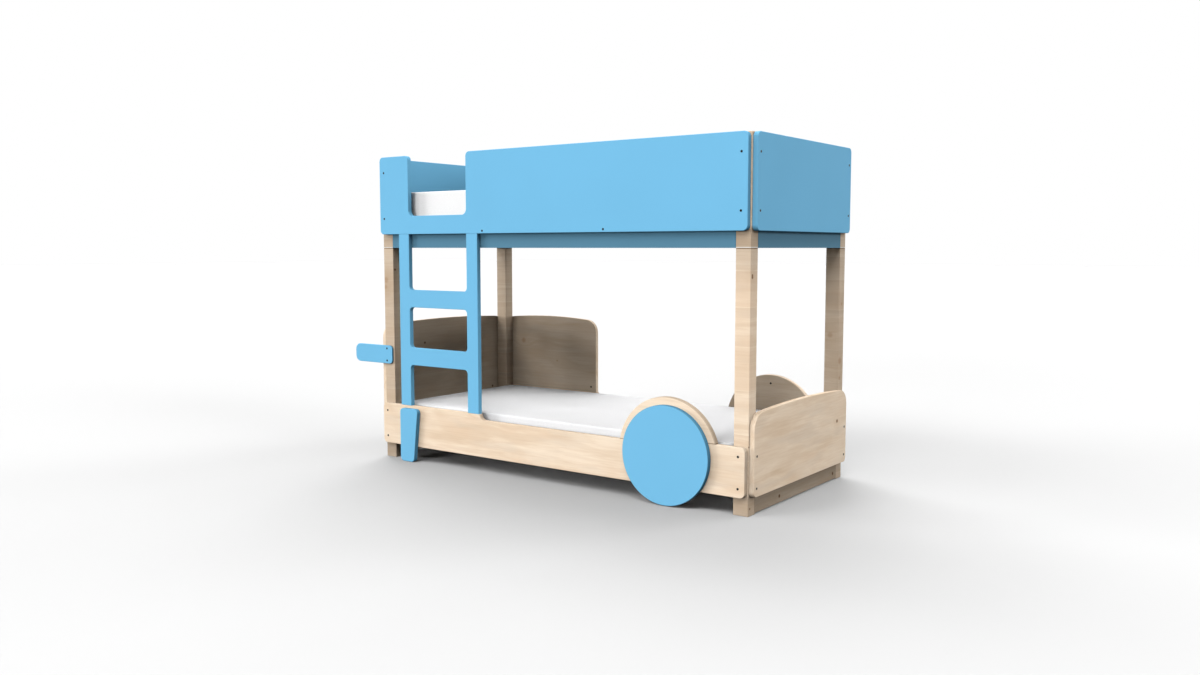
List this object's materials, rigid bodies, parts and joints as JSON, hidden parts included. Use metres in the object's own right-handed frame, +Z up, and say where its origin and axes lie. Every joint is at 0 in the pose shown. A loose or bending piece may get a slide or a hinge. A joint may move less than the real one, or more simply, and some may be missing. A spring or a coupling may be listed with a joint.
{
  "type": "bunk bed",
  "caption": "Children's bunk bed with jointed wooden posts, painted guard panels, cut-out ladder, wheel-shaped side plates, arched end boards, slatted bases and loose mattresses.",
  "frame": {"origin": "on the floor below the middle of the bed's overall length and width, mirror plate and wheels included", "axes": "+X along the bed from the headboard to the footboard, +Y from the ladder side to the back, +Z up"},
  "size_m": [2.393, 1.033, 1.561],
  "materials": {
    "birch": "clear satin lacquer",
    "pine": "planed, bare",
    "blue_paint": "painted light blue, satin",
    "white_fabric": "plain white woven cover"
  },
  "bodies": {
    "frame": {"lower_post_front_left": "birch", "lower_post_front_right": "birch", "lower_post_back_left": "birch", "lower_post_back_right": "birch", "upper_post_front_left": "birch", "upper_post_front_right": "birch", "upper_post_back_left": "birch", "upper_post_back_right": "birch", "post_dowel_front_left": "pine", "post_dowel_front_right": "pine", "post_dowel_back_left": "pine", "post_dowel_back_right": "pine", "support_rail_front": "blue_paint", "support_rail_back": "blue_paint", "support_rail_left": "blue_paint", "support_rail_right": "blue_paint", "guard_panel_front": "blue_paint", "guard_panel_back": "blue_paint", "guard_panel_left": "blue_paint", "guard_panel_right": "blue_paint", "ladder": "blue_paint", "side_rail_front": "birch", "side_rail_back": "birch", "wheel_arch_front": "birch", "wheel_arch_back": "birch", "wheel_front": "blue_paint", "wheel_back": "blue_paint", "headboard": "birch", "footboard": "birch", "back_board": "birch", "base_rail_left": "birch", "base_rail_right": "birch", "mirror_plate": "blue_paint", "mudguard_plate": "blue_paint", "lower_ledger_front": "pine", "lower_ledger_back": "pine", "upper_ledger_front": "pine", "upper_ledger_back": "pine", "lower_slat_01": "pine", "lower_slat_02": "pine", "lower_slat_03": "pine", "lower_slat_04": "pine", "lower_slat_05": "pine", "lower_slat_06": "pine", "lower_slat_07": "pine", "lower_slat_08": "pine", "lower_slat_09": "pine", "lower_slat_10": "pine", "upper_slat_01": "pine", "upper_slat_02": "pine", "upper_slat_03": "pine", "upper_slat_04": "pine", "upper_slat_05": "pine", "upper_slat_06": "pine", "upper_slat_07": "pine", "upper_slat_08": "pine", "upper_slat_09": "pine", "upper_slat_10": "pine"},
    "lower_mattress": {"lower_mattress": "white_fabric"},
    "upper_mattress": {"upper_mattress": "white_fabric"}
  },
  "joints": [
    {"name": "lower_mattress_lift", "type": "slide", "parent": "frame", "child": "lower_mattress", "axis": [0, 0, 1], "range_m": [0, 0.35]},
    {"name": "upper_mattress_lift", "type": "slide", "parent": "frame", "child": "upper_mattress", "axis": [0, 0, 1], "range_m": [0, 0.35]}
  ]
}
